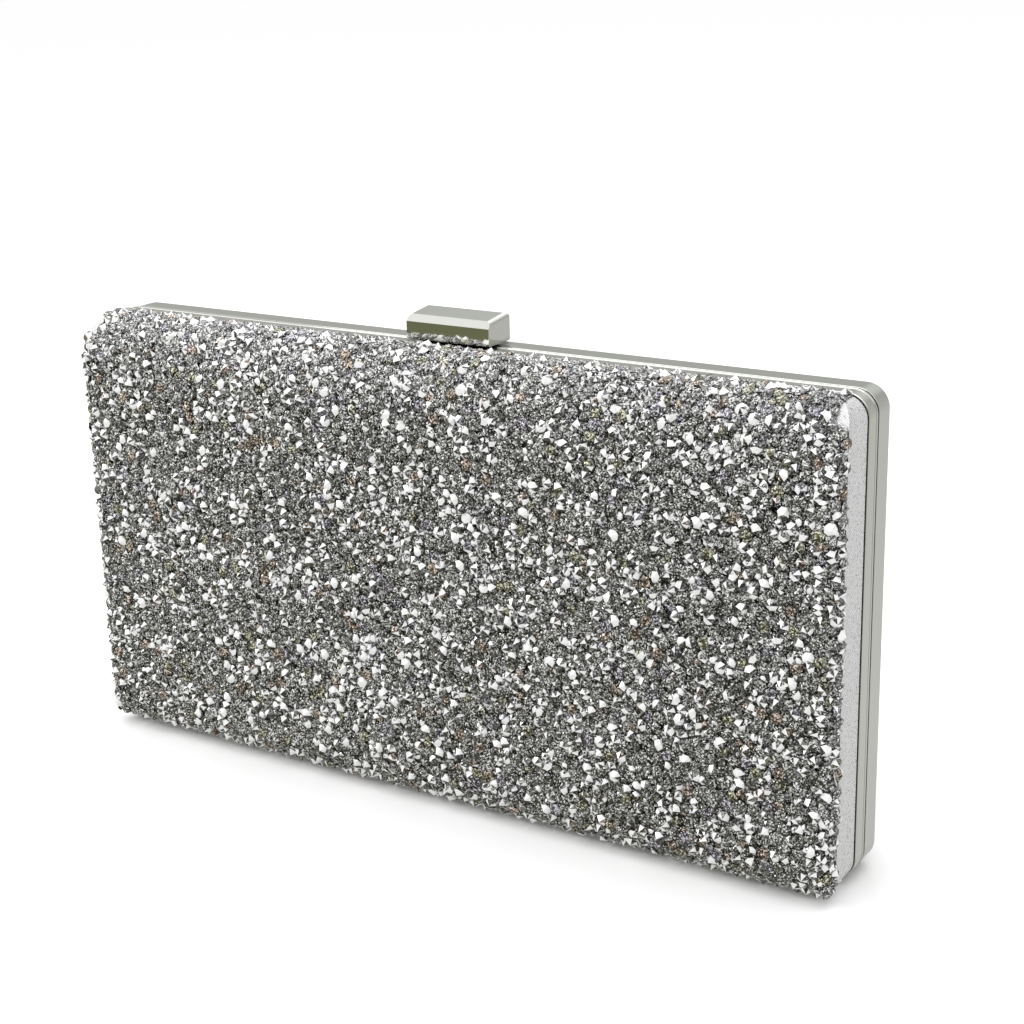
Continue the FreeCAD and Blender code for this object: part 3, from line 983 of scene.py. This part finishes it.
@dataclass
class SlipPocket:
    """The slip pocket on the rear lining, with a row of stitches round three sides."""

    finishes: Finishes
    cloth: float = 0.5 * MM
    stitch_length: float = 1.9 * MM
    stitch_pitch: float = 3.0 * MM
    stitch_in: float = 2.2 * MM

    def build(self) -> None:
        """Makes the pocket and its stitches."""
        low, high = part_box("lining_pocket")
        panel = self.make_panel(low, high)
        dress(panel, self.finishes.satin, Half.REAR.body)
        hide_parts("lining_pocket")
        stitches = self.make_stitches(low, high)
        dress(stitches, self.finishes.thread, Half.REAR.body)

    def make_panel(self, low: Vector, high: Vector) -> bpy.types.Object:
        """The bellied cloth panel."""
        size = high - low
        middle = (low + high) / 2
        bpy.ops.object.select_all(action="DESELECT")
        bpy.ops.mesh.primitive_grid_add(
            x_subdivisions=55, y_subdivisions=26, size=1, location=middle, rotation=(math.pi / 2, 0, 0)
        )
        panel = bpy.context.object
        panel.scale = (size.x, size.z, 1)
        settle(panel, "lining_pocket_panel")
        for vertex in panel.data.vertices:
            along = abs(vertex.co.x - middle.x) / (size.x / 2)
            rise = max(0.0, (vertex.co.z - low.z) / size.z)
            belly = (1 - along ** 6) * min(1.0, 3.2 * rise) ** 0.6
            vertex.co.y = high.y - self.cloth - belly * (size.y - self.cloth)
        apply_modifier(panel, "SOLIDIFY", thickness=0.7 * self.cloth, offset=1)
        smooth(panel, 60)
        return panel

    def make_stitches(self, low: Vector, high: Vector) -> bpy.types.Object:
        """Stitches along the pocket's sides and bottom."""
        places = []
        left, right = low.x + self.stitch_in, high.x - self.stitch_in
        base = low.z + self.stitch_in
        across = round((right - left) / self.stitch_pitch)
        upright = round((high.z - base) / self.stitch_pitch)
        for i in range(across + 1):
            places.append((left + i * (right - left) / across, base, 0.0))
        for i in range(1, upright):
            for x in (left, right):
                places.append((x, base + i * self.stitch_pitch, math.pi / 2))
        made = []
        for x, z, turn in places:
            bpy.ops.object.select_all(action="DESELECT")
            bpy.ops.mesh.primitive_uv_sphere_add(
                segments=8,
                ring_count=6,
                radius=1,
                location=(x, high.y - 2.2 * self.cloth, z),
                rotation=(0, turn, 0),
            )
            stitch = bpy.context.object
            stitch.scale = (self.stitch_length / 2, 0.16 * MM, 0.2 * MM)
            made.append(stitch)
        for stitch in made:
            stitch.select_set(True)
        bpy.context.view_layer.objects.active = made[0]
        bpy.ops.object.join()
        stitches = settle(made[0], "pocket_stitches")
        smooth(stitches, 60)
        return stitches


# ---- Metal and moulded parts ----

@dataclass
class Hardware:
    """The CAD nodes that keep their shape and get their finish here."""

    finishes: Finishes

    def build(self) -> None:
        """Dresses each node by the record's slot for it."""
        by_slot = {
            "nickel_plate": self.finishes.nickel,
            "hinge_steel": self.finishes.steel,
            "spring_steel": self.finishes.spring,
            "tray_plastic": self.finishes.plastic,
        }
        for row in frame["record"]["subparts"]:
            finish = by_slot.get(row["material_slot"])
            if finish is None:
                continue
            node = frame["nodes"][row["node"]]
            for holder in node.material_slots:
                holder.material = finish
            log.info("%s: dressed as %s", node.name, finish.name)


# ---- Studio ----

@dataclass
class Studio:
    """The pale floor, the soft light and the camera."""

    eye: tuple[float, float, float] = (0.23547, -0.34087, 0.19539)
    yaw: float = 33.064
    pitch: float = 17.341
    roll: float = -1.471
    lens: float = 66.53
    floor_size: float = 12.0

    def build(self) -> None:
        """Sets up the floor, the lights, the surroundings and the camera."""
        self.make_floor()
        self.make_lights()
        self.make_surroundings()
        self.make_camera()
        bpy.context.scene.view_settings.view_transform = "Standard"

    def make_floor(self) -> None:
        """A white floor that doesn't show in the bag's polished metal."""
        bpy.ops.object.select_all(action="DESELECT")
        bpy.ops.mesh.primitive_plane_add(size=self.floor_size)
        floor = settle(bpy.context.object, "studio_floor")
        finish, _, shader = new_finish("floor_paper", Roughness=0.9, Specular_IOR_Level=0.0)
        shader.inputs["Base Color"].default_value = (0.98, 0.98, 0.98, 1.0)
        floor.data.materials.append(finish)
        floor.visible_glossy = False

    def make_lights(self) -> None:
        """One large soft light overhead and a smaller one from the left."""
        for name, place, size, power in (
            ("overhead_light", Vector((-0.1, 0.1, 0.9)), 1.2, 5.0),
            ("left_light", Vector((-0.7, -0.6, 0.6)), 0.5, 3.0),
        ):
            lamp = bpy.data.lights.new(name, "AREA")
            lamp.energy = power
            lamp.size = size
            light = bpy.data.objects.new(name, lamp)
            light.location = place
            light.rotation_euler = (-place).to_track_quat("-Z", "Y").to_euler()
            bpy.context.scene.collection.objects.link(light)

    def make_surroundings(self) -> None:
        """White to the eye, and a room with light and dark sides to mirrors."""
        world = bpy.data.worlds.new("studio")
        world.use_nodes = True
        bpy.context.scene.world = world
        desk = NodeDesk(world.node_tree)
        desk.tree.nodes.clear()
        way = desk.add("ShaderNodeTexCoord").outputs["Generated"]
        parts = desk.add("ShaderNodeSeparateXYZ", {0: way}).outputs
        height = desk.math("MULTIPLY_ADD", parts["Z"], 0.5, 0.5)
        room = desk.ramp(
            height,
            (0.0, (0.30, 0.30, 0.30, 1.0)),
            (0.30, (0.62, 0.62, 0.60, 1.0)),
            (0.48, (0.50, 0.50, 0.48, 1.0)),
            (0.66, (0.42, 0.43, 0.41, 1.0)),
            (0.80, (1.0, 1.0, 1.0, 1.0)),
        )
        facing = desk.vector("DOT_PRODUCT", way, (-0.35, -0.75, -0.35)).outputs["Value"]
        dark = desk.ramp(facing, (0.35, (0, 0, 0, 1)), (0.62, (1, 1, 1, 1)))
        seen = desk.mix(dark, room, (0.17, 0.175, 0.10, 1.0))
        path = desk.add("ShaderNodeLightPath").outputs
        soft = desk.mix(path["Is Diffuse Ray"], seen, (1.05, 1.05, 1.05, 1.0))
        shown = desk.mix(path["Is Camera Ray"], soft, (1.0, 1.0, 1.0, 1.0))
        background = desk.add("ShaderNodeBackground", {"Color": shown, "Strength": 1.0})
        desk.add("ShaderNodeOutputWorld", {"Surface": background.outputs[0]})

    def make_camera(self) -> None:
        """The camera at the set viewing angle."""
        camera = bpy.data.objects.new("camera", bpy.data.cameras.new("camera"))
        bpy.context.scene.collection.objects.link(camera)
        turn = Matrix.Rotation(math.radians(self.yaw), 4, "Z")
        nod = Matrix.Rotation(math.radians(90 - self.pitch), 4, "X")
        lean = Matrix.Rotation(math.radians(self.roll), 4, "Z")
        camera.matrix_world = Matrix.Translation(self.eye) @ turn @ nod @ lean
        camera.data.lens = self.lens
        camera.data.clip_start = 0.01
        bpy.context.scene.camera = camera


def main() -> None:
    """Builds the bag's looks and the studio."""
    logging.basicConfig(level=logging.INFO, format="%(name)s %(message)s")
    finishes = Finishes()
    front_form = HalfForm(
        Half.FRONT,
        top_roll_depth=11 * MM,
        top_roll_height=20 * MM,
        bottom_roll=8 * MM,
        end_round=5.4 * MM,
        corner_round=6.1 * MM,
    )
    rear_form = HalfForm(
        Half.REAR,
        top_roll_depth=12 * MM,
        top_roll_height=20 * MM,
        bottom_roll=8 * MM,
        end_round=13.4 * MM,
        corner_round=4.1 * MM,
    )
    Studio().build()
    Hardware(finishes).build()
    for form in (front_form, rear_form):
        cover = Skin(form, "fabric_cover", finishes.lurex, "glitter_fabric", COVER_THICKNESS).build()
        form.half.node("tray")
        foam = Skin(form, "foam_pad", finishes.foam, "lining_foam", FOAM_THICKNESS).build()
        lining = Skin(form, "lining", finishes.satin, "satin_lining", LINING_THICKNESS).build()
    CrystalSheet(front_form, finishes, side_margin=3.5 * MM, wrap=4.3 * MM, seed=7).build()
    CrystalSheet(rear_form, finishes, side_margin=7.5 * MM, wrap=2.0 * MM, seed=8).build()
    SlipPocket(finishes).build()


if __name__ == "__main__":
    main()
